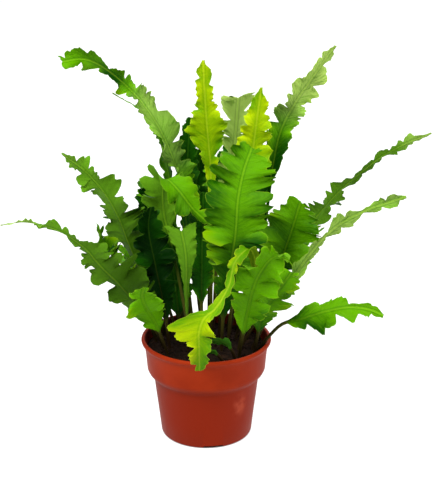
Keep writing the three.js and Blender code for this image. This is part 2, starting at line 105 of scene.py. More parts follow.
class Nodes:
    def __init__(self, name):
        self.material = bpy.data.materials.new(name)
        self.material.use_nodes = True
        self.tree = self.material.node_tree
        self.tree.nodes.clear()

    # An input that is a socket is linked, and any other is set
    def add(self, kind, inputs=None, **settings):
        node = self.tree.nodes.new("ShaderNode" + kind)
        for key, value in settings.items():
            setattr(node, key, value)
        for key, value in (inputs or {}).items():
            if hasattr(value, "is_output"):
                self.tree.links.new(value, node.inputs[key])
            else:
                node.inputs[key].default_value = value
        return node

    def math(self, operation, a, b=0.0):
        return self.add("Math", {0: a, 1: b}, operation=operation).outputs[0]

    def times(self, a, b):
        return self.math("MULTIPLY", a, b)

    def plus(self, a, b):
        return self.math("ADD", a, b)

    # From 0 at start to 1 at end on a smooth slope, level beyond. start may be the larger of the two.
    def step(self, value, start, end):
        inputs = {"Value": value, "From Min": start, "From Max": end}
        return self.add("MapRange", inputs, interpolation_type="SMOOTHSTEP").outputs["Result"]

    # low where value is 0 and high where it is 1
    def between(self, value, low, high):
        return self.add("MapRange", {"Value": value, "To Min": low, "To Max": high}).outputs["Result"]

    def blend(self, share, a, b):
        return self.add("Mix", {0: share, 6: a, 7: b}, data_type="RGBA").outputs[2]

    def bump(self, height, strength, distance):
        return self.add("Bump", {"Strength": strength, "Distance": distance, "Height": height}).outputs[0]

    def noise(self, vector, scale, detail=3.0, roughness=0.55):
        inputs = {"Vector": vector, "Scale": scale, "Detail": detail, "Roughness": roughness}
        return self.add("TexNoise", inputs).outputs["Fac"]

    def finish(self, shader):
        self.add("OutputMaterial", {"Surface": shader})
        return self.material


# camera

camera = {"place": (0.0104, -1.077, 0.563), "tilt": 70.47, "lens": 92.2, "sensor": 36}

bpy.ops.object.camera_add(location=camera["place"], rotation=(math.radians(camera["tilt"]), 0, 0))
cameraObject = bpy.context.object
cameraObject.data.lens = camera["lens"]
cameraObject.data.sensor_width = camera["sensor"]
bpy.context.scene.camera = cameraObject
print("camera ready")


# light and floor

studio = {
    "world": 0.3, "aim": (0, 0, 0.17),
    "keyPlace": (-0.8, -1.2, 2.0), "keySize": 1.3, "keyPower": 80,
    "fillPlace": (1.7, -0.6, 1.2), "fillSize": 1.4, "fillPower": 36,
    "backPlace": (0.1, 1.7, 1.5), "backSize": 1.6, "backPower": 30,
    "floorSize": 14, "floorGlow": 0.93, "paperDark": 0.2, "paperLight": 0.23,
    # distances from the middle between which the glow sets in, so that only the floor under the pot is dark:
    # a painted contact shadow
    "glowStart": 0.0395, "glowFull": 0.0428,
}


def softLight(name, place, size, power):
    aim = Vector(studio["aim"]) - Vector(place)
    turn = aim.to_track_quat("-Z", "Y").to_euler()
    bpy.ops.object.light_add(type="AREA", location=place, rotation=turn)
    light = bpy.context.object
    light.name = name
    light.data.shape = "DISK"
    light.data.size = size
    light.data.energy = power


for name in ("key", "fill", "back"):
    softLight(name + "_light", studio[name + "Place"], studio[name + "Size"], studio[name + "Power"])

world = bpy.data.worlds.new("studio")
bpy.context.scene.world = world
world.use_nodes = True
background = world.node_tree.nodes["Background"]
background.inputs["Color"].default_value = grey(1)
background.inputs["Strength"].default_value = studio["world"]
bpy.context.scene.view_settings.view_transform = "Standard"

nodes = Nodes("floor_paper")
where = nodes.add("TexCoord").outputs["Object"]
tone = nodes.blend(nodes.noise(where, 3), grey(studio["paperDark"]), grey(studio["paperLight"]))
diffuse = nodes.add("BsdfDiffuse", {"Color": tone})
away = nodes.add("VectorMath", {0: where}, operation="LENGTH").outputs["Value"]
# the glow fades out under the pot: a painted contact shadow
glow = nodes.times(nodes.step(away, studio["glowStart"], studio["glowFull"]), studio["floorGlow"])
shine = nodes.add("Emission", {"Color": grey(1), "Strength": glow})
paper = nodes.add("AddShader", {0: diffuse.outputs[0], 1: shine.outputs[0]})
deselectAll()
bpy.ops.mesh.primitive_plane_add(size=studio["floorSize"], location=(0, 0, 0))
floor = bpy.context.object
floor.name = "floor"
floor.data.materials.append(nodes.finish(paper.outputs[0]))
print("light and floor ready")


# pot: rings drawn out of one circle, from the boss under it round the wall to the floor inside

pot = {
    "sides": 128, "smoothAngle": 32,
    # radius and height of each ring, in millimetres
    "rings": [
        (14, 0), (14.8, 2.6), (35.2, 2.6), (36, 0), (40, 0), (41.7, 0.8), (42.4, 2.4), (44.6, 22),
        (46.8, 40), (48.6, 55.6), (48.9, 57.4), (50.6, 59.4), (53.4, 62.0), (54.7, 64.8), (54.9, 67),
        (55.8, 78), (56.8, 86), (57.4, 88.6), (58.6, 90.0), (59.6, 90.9), (60, 92.2), (59.7, 93.4),
        (58.8, 94), (57.2, 94), (56.2, 93.2), (55.6, 88), (54.6, 78), (53.6, 67.4), (53.2, 65.4),
        (51.8, 62.6), (48.6, 59.4), (47.6, 57), (45.6, 40), (43.3, 22), (41.7, 4.2),
    ],
    "notchCount": 3, "notchTurn": -81, "notchRing": 40, "notchDeep": 12, "notchWidth": 18,
    "notchHeight": 2.6, "notchSpare": 0.5,
    "drainCount": 6, "drainSides": 28, "drainRadius": 3.2, "drainRing": 25, "drainMiddle": 3.4,
    "drainDeep": 4,
    # the look, in metres: where the shaded inside and the painted shade below the collar set in, and the
    # rubbed places
    "innerLean": 0.11, "innerRadius": (0.0468, 0.0464), "innerHeight": (0.083, 0.085), "innerShade": 0.85,
    "shadeBelowCollar": (0.066, 0.058), "rough": (0.42, 0.54),
    "paleRub": {"centre": (0.031, -0.0354, 0.0412), "radius": 0.011, "scale": 110},
    "darkRub": {"centre": (-0.0405, -0.0305, 0.0575), "radius": 0.007, "scale": 140},
    "rubSquash": 0.6,
}


def ringsOut(name, rings, sides):
    deselectAll()
    radius, height = rings[0]
    bpy.ops.mesh.primitive_circle_add(vertices=sides, radius=radius * mm, location=(0, 0, 0),
                                      fill_type="NGON")
    obj = bpy.context.object
    obj.name = name
    editAll(obj)
    bpy.ops.transform.translate(value=(0, 0, height * mm))
    for nextRadius, nextHeight in rings[1:]:
        rise = (nextHeight - height) * mm
        bpy.ops.mesh.extrude_edges_move(TRANSFORM_OT_translate={"value": (0, 0, rise)})
        grow = nextRadius / radius
        bpy.ops.transform.resize(value=(grow, grow, 1), center_override=(0, 0, nextHeight * mm))
        radius, height = nextRadius, nextHeight
    bpy.ops.mesh.edge_face_add()
    bpy.ops.mesh.select_all(action="SELECT")
    bpy.ops.mesh.normals_make_consistent(inside=False)
    bpy.ops.object.mode_set(mode="OBJECT")
    return obj


def cutWith(obj, cutter):
    applyModifier(obj, "BOOLEAN", operation="DIFFERENCE", object=cutter, solver="EXACT")
    bpy.data.objects.remove(cutter, do_unlink=True)


potObject = ringsOut("flower_pot", pot["rings"], pot["sides"])
for index in range(pot["notchCount"]):
    turn = math.radians(pot["notchTurn"] + 360 / pot["notchCount"] * index)
    deselectAll()
    reach = pot["notchRing"] * mm
    middle = (pot["notchHeight"] / 2 - pot["notchSpare"]) * mm
    place = (reach * math.cos(turn), reach * math.sin(turn), middle)
    bpy.ops.mesh.primitive_cube_add(size=1, location=place, rotation=(0, 0, turn))
    notch = bpy.context.object
    tall = (pot["notchHeight"] + 2 * pot["notchSpare"]) * mm
    notch.scale = (pot["notchDeep"] * mm, pot["notchWidth"] * mm, tall)
    bpy.ops.object.transform_apply(location=False, rotation=False, scale=True)
    cutWith(potObject, notch)
for index in range(pot["drainCount"]):
    turn = (index + 0.5) / pot["drainCount"] * 2 * math.pi
    reach = pot["drainRing"] * mm
    place = (reach * math.cos(turn), reach * math.sin(turn), pot["drainMiddle"] * mm)
    deselectAll()
    bpy.ops.mesh.primitive_cylinder_add(vertices=pot["drainSides"], radius=pot["drainRadius"] * mm,
                                        depth=pot["drainDeep"] * mm, location=place)
    cutWith(potObject, bpy.context.object)
pick(potObject)
bpy.ops.object.shade_smooth_by_angle(angle=math.radians(pot["smoothAngle"]))

nodes = Nodes("pot_plastic")
where = nodes.add("TexCoord").outputs["Object"]
height = nodes.add("SeparateXYZ", {0: where}).outputs["Z"]
cloud = nodes.noise(where, 22, 4)
fine = nodes.noise(where, 900, 2)
flat = nodes.add("VectorMath", {0: where, 1: (1, 1, 0)}, operation="MULTIPLY").outputs["Vector"]
radius = nodes.add("VectorMath", {0: flat}, operation="LENGTH").outputs["Value"]
leaning = nodes.math("SUBTRACT", radius, nodes.times(height, pot["innerLean"]))
inner = nodes.times(nodes.step(leaning, *pot["innerRadius"]), nodes.step(height, *pot["innerHeight"]))
colour = nodes.blend(nodes.step(cloud, 0.35, 0.7), srgb(126, 32, 4), srgb(139, 39, 7))
# painted shade: the wall below the collar is darker
colour = nodes.blend(nodes.step(height, *pot["shadeBelowCollar"]), colour, srgb(119, 28, 4))
colour = nodes.blend(nodes.times(inner, pot["innerShade"]), colour, srgb(58, 18, 8))


# A rubbed place round a point on the wall, broken up by noise
def rubbed(nodes, where, centre, radius, scale):
    squash = pot["rubSquash"]
    stretch = nodes.add("Mapping", {"Vector": where, "Scale": (1, 1, squash)}).outputs[0]
    point = (centre[0], centre[1], centre[2] * squash)
    away = nodes.add("VectorMath", {0: stretch, 1: point}, operation="DISTANCE").outputs["Value"]
    near = nodes.step(away, radius, radius * 0.2)
    return nodes.times(near, nodes.step(nodes.noise(where, scale, 2), 0.3, 0.75))


paleRub = rubbed(nodes, where, **pot["paleRub"])
darkRub = rubbed(nodes, where, **pot["darkRub"])
colour = nodes.blend(nodes.times(paleRub, 0.4), colour, srgb(180, 84, 60))
colour = nodes.blend(nodes.times(darkRub, 0.55), colour, srgb(92, 26, 16))
stretched = nodes.add("Mapping", {"Vector": where, "Scale": (1, 1, 0.08)}).outputs[0]
streaks = nodes.noise(stretched, 240, 3)
rough = nodes.plus(nodes.between(streaks, *pot["rough"]), nodes.times(paleRub, 0.2))
shader = nodes.add("BsdfPrincipled", {"Base Color": colour, "Roughness": rough, "IOR": 1.48,
                                      "Specular IOR Level": 0.06, "Normal": nodes.bump(fine, 0.12, 0.0004)})
potObject.data.materials.append(nodes.finish(shader.outputs[0]))
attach(potObject, "root")
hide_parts("pot")
print("pot ready")


# soil: a plug under a lumpy top, strewn with crumbs

soil = {
    "sides": 72, "smoothAngle": 50,
    # radius and height of each ring up the side, in millimetres. The top goes on inwards in even steps.
    "rings": [
        (41.2, 4.5), (43, 22), (45.2, 40), (47.1, 57), (49.1, 60.6), (52.9, 67.6), (54.2, 79), (54.7, 84),
    ],
    "top": 85, "topRadius": 54, "topStep": 3,
    # lumps begin inside lumpStart and are full inside lumpFull, on all that lies above lumpAbove (metres)
    "lump": 1.6, "lumpStart": 0.0546, "lumpFull": 0.050, "lumpAbove": 0.0845,
    "crumbs": 420, "crumbSize": 1.5, "crumbReach": 0.0515, "crumbFlat": 0.8,
}

topRings = [(radius, soil["top"]) for radius in range(soil["topRadius"], 0, -soil["topStep"])]
soilObject = ringsOut("peat_soil", soil["rings"] + topRings, soil["sides"])


def soilTop(x, y):
    spot = Vector((x, y, 0)) / mm
    lumps = noise.noise(spot * 0.11) + 0.6 * noise.noise(spot * 0.31) + 0.3 * noise.noise(spot * 0.9)
    return (soil["top"] + soil["lump"] * lumps) * mm


lumpy = []
for vertex in soilObject.data.vertices:
    x, y, z = vertex.co
    fade = smooth(soil["lumpStart"], soil["lumpFull"], math.hypot(x, y))
    lumpy.append((x, y, mix(z, soilTop(x, y), fade) if z > soil["lumpAbove"] else z))
placeVertices(soilObject, lumpy)

deselectAll()
bpy.ops.mesh.primitive_ico_sphere_add(subdivisions=1, radius=1, location=(0, 0, 0))
crumb = bpy.context.object
crumbs = []
for index in range(soil["crumbs"]):
    angle = 2 * math.pi * scatter(index + 0.3)
    reach = soil["crumbReach"] * math.sqrt(scatter(index * 1.7 + 5))
    x, y = reach * math.cos(angle), reach * math.sin(angle)
    size = soil["crumbSize"] * mm * mix(0.35, 1.1, scatter(index * 2.9 + 1) ** 2)
    piece = crumb.copy()
    piece.data = crumb.data.copy()
    wide = mix(0.8, 1.6, scatter(index + 9))
    shape = []
    for vertex in crumb.data.vertices:
        wobble = 1 + 0.35 * noise.noise(vertex.co * 1.6 + Vector((index * 3.1, 0, 0)))
        point = vertex.co * size * wobble
        shape.append((x + point.x * wide, y + point.y, soilTop(x, y) + point.z * soil["crumbFlat"]))
    placeVertices(piece, shape)
    bpy.context.collection.objects.link(piece)
    crumbs.append(piece)
bpy.data.objects.remove(crumb, do_unlink=True)
pick(soilObject)
for piece in crumbs:
    piece.select_set(True)
bpy.ops.object.join()
pick(soilObject)
bpy.ops.object.shade_smooth_by_angle(angle=math.radians(soil["smoothAngle"]))

nodes = Nodes("soil_peat")
where = nodes.add("TexCoord").outputs["Object"]
grain = nodes.noise(where, 420, 6, 0.7)
patch = nodes.noise(where, 60, 3)
colour = nodes.blend(nodes.step(grain, 0.35, 0.7), srgb(8, 5, 3), srgb(34, 21, 13))
colour = nodes.blend(nodes.step(patch, 0.55, 0.75), colour, srgb(44, 28, 17))
rough = nodes.between(grain, 0.8, 1.0)
shader = nodes.add("BsdfPrincipled", {"Base Color": colour, "Roughness": rough,
                                      "Specular IOR Level": 0.04, "Normal": nodes.bump(grain, 0.8, 0.0012)})
soilObject.data.materials.append(nodes.finish(shader.outputs[0]))
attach(soilObject, "root")
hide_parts("soil")
print("soil ready")


# fronds: each is a grid rolled into a closed skin along its midrib, from a round stalk to a thin blade

blade = {
    # heights of the rows in which the stalk stands in the soil. Its midrib begins at the last of them.
    "stalkRadius": 1.5, "stalkRows": (73, 80, 86.5),
    "lobePitch": 18, "lobeCycles": 2.3, "lobeSwing": 0.032, "sideShift": 1 / 3, "sweep": 0.3,
    "foot": 0.22, "fullLobes": 0.31, "notch": 0.62, "deepest": 0.7, "sinus": 3.0, "minor": 0.34,
    "wave": 5.5, "waveFullAt": 12,
    "rowStep": 0.95, "stalkStep": 5, "smoothAngle": 65,
    "edgeHalf": 0.22, "ribRise": 0.4, "ribUnder": 1.0, "ribTip": 0.5, "tipThin": 0.35, "quilt": 0.16,
    "teeth": 2.6, "closeTeeth": 1.25, "toothDepth": 2.2, "fineTeeth": 6.3, "fineDepth": 1.2,
    "endTeeth": 2.2, "frill": 1.8, "curl": 4.2,
    "reachForward": 3.4,
    # where the columns of the skin lie between the midrib and an edge
    "columns": [0, 0.05, 0.1, 0.2, 0.32, 0.44, 0.56, 0.68, 0.78, 0.87, 0.94, 1],
    # columns up to ribColumn are drawn in to the midrib, whose edge then lies at ribEnd
    "ribColumn": 0.1, "ribEnd": 0.08,
}

# Millimetres and degrees. root is where the frond leaves the soil, via the points that its midrib passes,
# bare the length without a blade, and widths the whole width from the blade's foot to its tip. facing and
# roll turn the blade, fold lifts its two halves, and lean makes one half wider. lobe is the length of a
# lobe, and lobing how strong notches and waves are. pale turns the blade greyish above 0, partly a paler
# tone of its own and partly painted sheen, and darker below 0 with painted shade, from foot to tip, and
# light takes the place of the frond's own random tone.
fronds = [
    {"name": "left_high", "kind": "leaf", "root": (-12, 18),
     "via": [(-19, 24, 160), (-22, 28, 227), (-43, 27, 286), (-70, 22, 324), (-102, 12, 349), (-124, 4, 349)],
     "bare": 88, "widths": [3, 20, 34, 38, 36, 32, 30, 24, 10, 22, 16], "facing": -24, "roll": [0, 0, 10, 60],
     "fold": 24, "lean": [-0.15, -0.15], "pale": [-0.5, -0.1, 0.3, 0.5, -0.6, 0], "light": 1.2},
    {"name": "left_high_back", "kind": "leaf", "root": (-22, 30),
     "via": [(-28, 42, 160), (-34, 48, 230), (-53, 48, 290), (-84, 42, 313)],
     "bare": 100, "widths": [3, 14, 22, 20, 16, 10, 3], "facing": -30, "roll": [0, 0, -30], "fold": 14},
    {"name": "left_middle", "kind": "leaf", "root": (-36, 12),
     "via": [(-50, 12, 130), (-68, 8, 176), (-82, 4, 216), (-101, -3, 248), (-125, -12, 272)],
     "bare": 58, "widths": [3, 28, 44, 46, 40, 34, 30, 18, 3], "facing": 0, "roll": [-40, -55, -65],
     "fold": 12, "lobe": 15, "pale": [-1, -0.7, -0.1, 0.1], "lobing": 1.3, "light": 1.2},
    {"name": "left_low", "kind": "leaf", "root": (-40, -3),
     "via": [(-49, -12, 111), (-64, -22, 137), (-77, -34, 159), (-91, -46, 180), (-104, -54, 200),
             (-118, -61, 214), (-135, -67, 224), (-153, -72, 229), (-170, -78, 228)],
     "bare": 30, "widths": [3, 34, 44, 46, 44, 36, 14, 12, 14, 10, 2], "facing": 0,
     "roll": [-60, -75, -75, -50, -20], "fold": 10, "lobe": 14, "lean": [-0.25, -0.25],
     "pale": [-0.4, -0.8, -0.5, -0.1, 0.9], "lobing": 1.2, "light": 1.2},
    {"name": "left_short", "kind": "leaf", "root": (-35, -22),
     "via": [(-44, -28, 116), (-50, -38, 133), (-54, -47, 146), (-55, -53, 156), (-53, -58, 165)],
     "bare": 24, "widths": [3, 22, 32, 34, 24, 8], "facing": -75, "roll": [0, 0, 0], "fold": 8,
     "lobing": 1.2, "light": 2.0},
    {"name": "left_dark_back", "kind": "dark", "root": (-28, 24),
     "via": [(-44, 34, 140), (-54, 38, 190), (-52, 36, 234)],
     "bare": 40, "widths": [3, 30, 40, 38, 28, 4], "facing": -60, "roll": [0, 0, 0], "fold": 12},
    {"name": "left_dark_inner", "kind": "dark", "root": (-24, 8),
     "via": [(-27, 12, 126), (-31, 13, 170), (-32, 11, 204)],
     "bare": 22, "widths": [3, 30, 42, 42, 30, 6], "facing": -80, "roll": [0, 10, 20], "fold": 16,
     "lobing": 1.2, "light": 1.6},
    {"name": "left_cupped", "kind": "dark", "root": (-34, -6),
     "via": [(-39, -7, 130), (-46, -9, 170), (-51, -12, 204), (-48, -20, 226)],
     "bare": 24, "widths": [3, 22, 32, 40, 36, 26, 8], "facing": -70, "roll": [0, 0, 0], "fold": 24,
     "lobe": 14, "lobing": 1.2, "pale": [-0.5, -0.2]},
    {"name": "left_crest", "kind": "leaf", "root": (-14, 0),
     "via": [(-26, -2, 160), (-38, -4, 222), (-35, -11, 248), (-24, -20, 241), (-9, -25, 223), (6, -28, 211)],
     "bare": 96, "widths": [3, 20, 36, 40, 34, 18, 4], "facing": 120, "roll": [0, 0, 0], "fold": 10,
     "lobing": 1.3},
    {"name": "middle_tall", "kind": "young", "root": (4, 12),
     "via": [(5, 20, 215), (4, 24, 251), (1, 20, 289), (-1, 13, 322), (-2, 6, 350)],
     "bare": 130, "widths": [3, 6, 10, 16, 28, 40, 26, 16, 16, 14, 3], "facing": -90, "roll": [0, 0, 0],
     "fold": 12, "lobing": 0.6},
    {"name": "middle_dark", "kind": "dark", "root": (-4, 26),
     "via": [(-17, 46, 211), (-17, 50, 253), (-14, 46, 290)],
     "bare": 96, "widths": [3, 22, 24, 20, 18, 8], "facing": -90, "roll": [0, 0, 0], "fold": 12},
    {"name": "middle_dark_back", "kind": "dark", "root": (-16, 36),
     "via": [(-17, 60, 180), (-10, 68, 218), (-4, 68, 260)],
     "bare": 84, "widths": [3, 20, 26, 22, 16, 3], "facing": -90, "roll": [0, 0, 0], "fold": 14},
    {"name": "middle_grey", "kind": "leaf", "root": (12, 26),
     "via": [(18, 38, 185), (24, 44, 246), (27, 42, 279), (29, 32, 312)],
     "bare": 98, "widths": [3, 20, 24, 24, 24, 30, 30], "facing": 90, "roll": [0, 0, 0], "fold": 16,
     "pale": [0.8, 1]},
    {"name": "middle_young", "kind": "young", "root": (20, 2),
     "via": [(30, 6, 190), (41, 6, 266), (48, -2, 328)],
     "bare": 100, "widths": [3, 16, 24, 34, 34, 28, 18, 3], "facing": -90, "roll": [0, 0, 0], "fold": 12,
     "lobing": 0.7},
    {"name": "front_broad", "kind": "leaf", "root": (14, -12),
     "via": [(16, -18, 128), (21, -28, 170), (26, -34, 205), (28, -35, 237), (33, -31, 262), (40, -25, 281)],
     "bare": 30, "widths": [3, 14, 24, 34, 48, 56, 60, 60, 58, 46, 20], "facing": -90, "roll": [0, 0, 0],
     "fold": 8, "lobe": 14, "lobing": 1.0, "pale": [-0.6, -0.3, -0.05, 0], "light": 0.9},
    {"name": "inner_dark", "kind": "dark", "root": (-4, -2),
     "via": [(-4, -4, 150), (-3, -6, 200), (-2, -10, 236)],
     "bare": 40, "widths": [3, 22, 30, 32, 24, 6], "facing": -90, "roll": [0, 0, 0], "fold": 20,
     "lobing": 1.2, "light": 0.8},
    {"name": "front_funnel", "kind": "leaf", "root": (-16, -24),
     "via": [(-17, -38, 150), (-17, -47, 190), (-21, -45, 214)],
     "bare": 42, "widths": [3, 4, 6, 12, 20, 28, 34], "facing": 90, "roll": [0, 0, 0], "fold": 34,
     "pale": [-0.6, -0.4, -0.2], "lobing": 0.35},
    {"name": "front_arching", "kind": "young", "root": (30, -10),
     "via": [(38, -26, 140), (43, -42, 182), (37, -55, 199), (25, -67, 191), (20, -77, 174), (9, -88, 158),
             (-1, -94, 151), (-5, -96, 140), (-5, -95, 123), (-5, -90, 101)],
     "bare": 84, "widths": [3, 8, 10, 12, 11, 8, 8, 10, 12, 42, 20, 17, 8], "facing": 90, "roll": [0, 0, 0],
     "fold": 8, "lean": [0, 0, 0, 0, 0, 0, 0, 0, 0, 0.35, 0, 0, 0], "pale": [-0.5, -0.2, 0, -0.4]},
    {"name": "right_high", "kind": "leaf", "root": (28, 16),
     "via": [(45, 20, 142), (55, 24, 204), (60, 24, 247), (67, 22, 284), (79, 16, 311), (94, 10, 336),
             (111, 5, 363)],
     "bare": 150, "widths": [3, 14, 22, 26, 26, 24, 22, 16, 3], "facing": -130, "roll": [0, -20, -80],
     "fold": 12, "pale": [-0.2, 0, 0.9, 1]},
    {"name": "right_dark_back", "kind": "dark", "root": (22, 26),
     "via": [(42, 44, 195), (56, 50, 243), (62, 50, 280)],
     "bare": 92, "widths": [3, 14, 18, 16, 12, 3], "facing": -90, "roll": [0, 0, 0], "fold": 12},
    {"name": "right_long", "kind": "leaf", "root": (38, 14),
     "via": [(60, 20, 132), (82, 20, 176), (118, 12, 228), (160, 0, 269), (195, -12, 290)],
     "bare": 62, "widths": [3, 24, 34, 36, 30, 20, 12, 9, 14, 12, 2], "facing": 180, "roll": [40, 50, 60],
     "fold": 12, "pale": [-0.5, -0.4, -0.6, 0.6]},
    {"name": "right_cupped", "kind": "leaf", "root": (34, 0),
     "via": [(53, 0, 126), (66, 0, 163), (76, -2, 195), (84, -7, 227)],
     "bare": 44, "widths": [3, 26, 44, 58, 60, 48, 22], "facing": -100, "roll": [0, 0, 0], "fold": 22,
     "lobe": 14, "lobing": 1.2, "pale": [-0.3, -0.2, 0], "light": 1.0},
    {"name": "right_thin", "kind": "leaf", "root": (43, -7),
     "via": [(60, -14, 126), (80, -22, 164), (110, -34, 209), (136, -43, 229), (170, -52, 245)],
     "bare": 50, "widths": [3, 10, 12, 14, 8, 10, 4, 16, 16, 4, 10, 12, 3], "facing": 180,
     "roll": [-40, -60, -60], "fold": 12, "pale": [0.1, 0.6, 0.4]},
    {"name": "right_broad", "kind": "leaf", "root": (44, -18),
     "via": [(51, -28, 127), (63, -36, 152), (75, -42, 173)],
     "bare": 22, "widths": [3, 22, 34, 38, 32, 16], "facing": -80, "roll": [0, 0, 0], "fold": 8, "lobe": 14,
     "lobing": 1.2, "light": 0.9},
    {"name": "right_front", "kind": "leaf", "root": (30, -26),
     "via": [(37, -40, 135), (42, -54, 165), (49, -62, 184), (56, -70, 196), (66, -78, 203)],
     "bare": 24, "widths": [3, 24, 38, 42, 40, 30, 18], "facing": -90, "roll": [0, 0, 0], "fold": 16,
     "lobe": 14, "lobing": 1.2, "light": 2.1},
    {"name": "right_low", "kind": "leaf", "root": (47, -14),
     "via": [(68, -22, 115), (84, -34, 125), (105, -45, 137), (126, -52, 144), (143, -55, 143),
             (155, -56, 138)],
     "bare": 42, "widths": [3, 12, 26, 34, 28, 30, 10, 12, 4], "facing": 160, "roll": [-20, -50, -50],
     "fold": 6, "lobe": 34, "lean": [0.2, 0.2], "light": 1.25},
    {"name": "small_one", "kind": "dark", "root": (27, -38),
     "via": [(22, -41, 100), (14, -44, 108), (4, -46, 110)],
     "bare": 14, "widths": [3, 12, 14, 3], "facing": 0, "roll": [0, -50, -65], "fold": 8, "lobe": 12},
    {"name": "small_two", "kind": "dark", "root": (17, -45),
     "via": [(11, -47, 96), (2, -49, 101), (-8, -49, 100)],
     "bare": 12, "widths": [3, 10, 12, 3], "facing": 0, "roll": [0, -50, -65], "fold": 8, "lobe": 12},
    {"name": "left_lower", "kind": "leaf", "root": (-47, 9),
     "via": [(-56, 2, 118), (-72, -7, 152), (-86, -15, 182), (-96, -23, 206)],
     "bare": 20, "widths": [3, 24, 34, 38, 32, 14], "facing": -30, "roll": [-20, -30, -30], "fold": 12,
     "lobe": 14, "pale": [-0.6, -0.4], "lobing": 1.3},
    {"name": "back_one", "kind": "leaf", "root": (20, 36),
     "via": [(34, 62, 150), (44, 88, 208), (52, 122, 236)],
     "bare": 66, "widths": [3, 28, 38, 38, 30, 18, 3], "facing": -115, "roll": [0, 0, 0], "fold": 12},
    {"name": "back_two", "kind": "leaf", "root": (2, 40),
     "via": [(2, 68, 146), (-2, 98, 200), (-8, 136, 220)],
     "bare": 66, "widths": [3, 28, 40, 38, 32, 18, 3], "facing": -88, "roll": [0, 0, 0], "fold": 12},
    {"name": "back_three", "kind": "leaf", "root": (-20, 42),
     "via": [(-34, 66, 140), (-50, 92, 188), (-66, 122, 210)],
     "bare": 60, "widths": [3, 24, 38, 38, 30, 18, 3], "facing": -60, "roll": [0, 0, 0], "fold": 12},
    {"name": "back_left", "kind": "leaf", "root": (-40, 26),
     "via": [(-58, 48, 124), (-76, 58, 150), (-92, 62, 164)],
     "bare": 44, "widths": [3, 24, 36, 36, 28, 16, 3], "facing": -25, "roll": [-10, -20, -20], "fold": 12},
    {"name": "back_right", "kind": "leaf", "root": (40, 26),
     "via": [(62, 42, 128), (88, 56, 160), (112, 64, 178)],
     "bare": 46, "widths": [3, 24, 32, 32, 26, 16, 3], "facing": 205, "roll": [10, 10, 10], "fold": 12},
    {"name": "back_right_low", "kind": "leaf", "root": (28, 34),
     "via": [(40, 50, 108), (56, 70, 126), (78, 92, 140), (104, 112, 136)],
     "bare": 40, "widths": [3, 24, 36, 32, 22, 3], "facing": 225, "roll": [0, 0, 0], "fold": 12},
    {"name": "back_low", "kind": "young", "root": (4, 44),
     "via": [(4, 58, 108), (5, 80, 126), (6, 108, 140), (8, 136, 134)],
     "bare": 40, "widths": [3, 22, 32, 32, 22, 3], "facing": -92, "roll": [0, 0, 0], "fold": 12},
    {"name": "back_left_low", "kind": "leaf", "root": (-33, 31),
     "via": [(-44, 47, 108), (-60, 66, 124), (-81, 88, 134), (-104, 108, 128)],
     "bare": 40, "widths": [3, 24, 36, 32, 22, 3], "facing": -45, "roll": [0, 0, 0], "fold": 12},
    {"name": "back_upright", "kind": "dark", "root": (6, 32),
     "via": [(12, 66, 178), (20, 86, 228), (24, 98, 256)],
     "bare": 80, "widths": [3, 28, 36, 32, 24, 3], "facing": -90, "roll": [0, 0, 0], "fold": 12},
    {"name": "back_right_high", "kind": "leaf", "root": (32, 28),
     "via": [(54, 44, 150), (70, 55, 180), (86, 66, 196)],
     "bare": 56, "widths": [3, 24, 30, 28, 22, 3], "facing": -130, "roll": [0, 0, 0], "fold": 12},
    {"name": "back_left_high", "kind": "leaf", "root": (-26, 40),
     "via": [(-38, 56, 148), (-46, 67, 180), (-57, 79, 200)],
     "bare": 56, "widths": [3, 28, 36, 32, 24, 3], "facing": -50, "roll": [0, 0, 0], "fold": 12},
]


# The value at share of a list of even steps, on smooth slopes between them
def alongList(values, share):
    place = clamp01(share) * (len(values) - 1)
    step = min(len(values) - 2, int(place))
    part = place - step
    return mix(values[step], values[step + 1], part * part * (3 - 2 * part))


# A smooth curve through points, measured along its length. It is centripetal, so it doesn't loop.
class Midrib:
    def __init__(self, points, samples=240):
        self.points = [Vector(point) for point in points]
        self.ends = [2 * self.points[0] - self.points[1], 2 * self.points[-1] - self.points[-2]]
        self.samples = samples
        self.lengths = [0.0]
        last = self.at(0)
        for i in range(1, samples + 1):
            point = self.at(i / samples)
            self.lengths.append(self.lengths[-1] + (point - last).length)
            last = point
        self.length = self.lengths[-1]

    def at(self, t):
        place = clamp01(t) * (len(self.points) - 1)
        step = min(len(self.points) - 2, int(place))
        part = place - step
        b, c = self.points[step], self.points[step + 1]
        a = self.points[step - 1] if step > 0 else self.ends[0]
        d = self.points[step + 2] if step + 2 < len(self.points) else self.ends[1]
        ab, bc, cd = (math.sqrt((q - p).length) for p, q in ((a, b), (b, c), (c, d)))
        start = ((b - a) / ab - (c - a) / (ab + bc) + (c - b) / bc) * bc
        end = ((c - b) / bc - (d - b) / (bc + cd) + (d - c) / cd) * bc
        bend = -3 * b + 3 * c - 2 * start - end
        turn = 2 * b - 2 * c + start + end
        return b + start * part + bend * part ** 2 + turn * part ** 3

    def timeAt(self, share):
        target = clamp01(share) * self.length
        low, high = 0, self.samples
        while high - low > 1:
            middle = (low + high) // 2
            if self.lengths[middle] <= target:
                low = middle
            else:
                high = middle
        part = (target - self.lengths[low]) / max(1e-9, self.lengths[high] - self.lengths[low])
        return (low + part) / self.samples

    def pointAt(self, share):
        return self.at(self.timeAt(share))

    def tangentAt(self, share):
        time = self.timeAt(share)
        return (self.at(min(1, time + 1e-3)) - self.at(max(0, time - 1e-3))).normalized()


# The directions across the blade and up from it
def frameOf(frond, tangent, share):
    facing = math.radians(frond["facing"])
    across = Vector((-math.sin(facing), math.cos(facing), 0))
    across = (across - tangent * across.dot(tangent)).normalized()
    across.rotate(Quaternion(tangent, -math.radians(alongList(frond["roll"], share))))
    return across, across.cross(tangent)


# Shifts a place to and fro along the blade, so that its lobes aren't all of one length
def unevenShare(share, seed):
    swing = math.sin(2 * math.pi * (blade["lobeCycles"] * share + scatter(seed)))
    return share + blade["lobeSwing"] * swing * math.sin(math.pi * share)


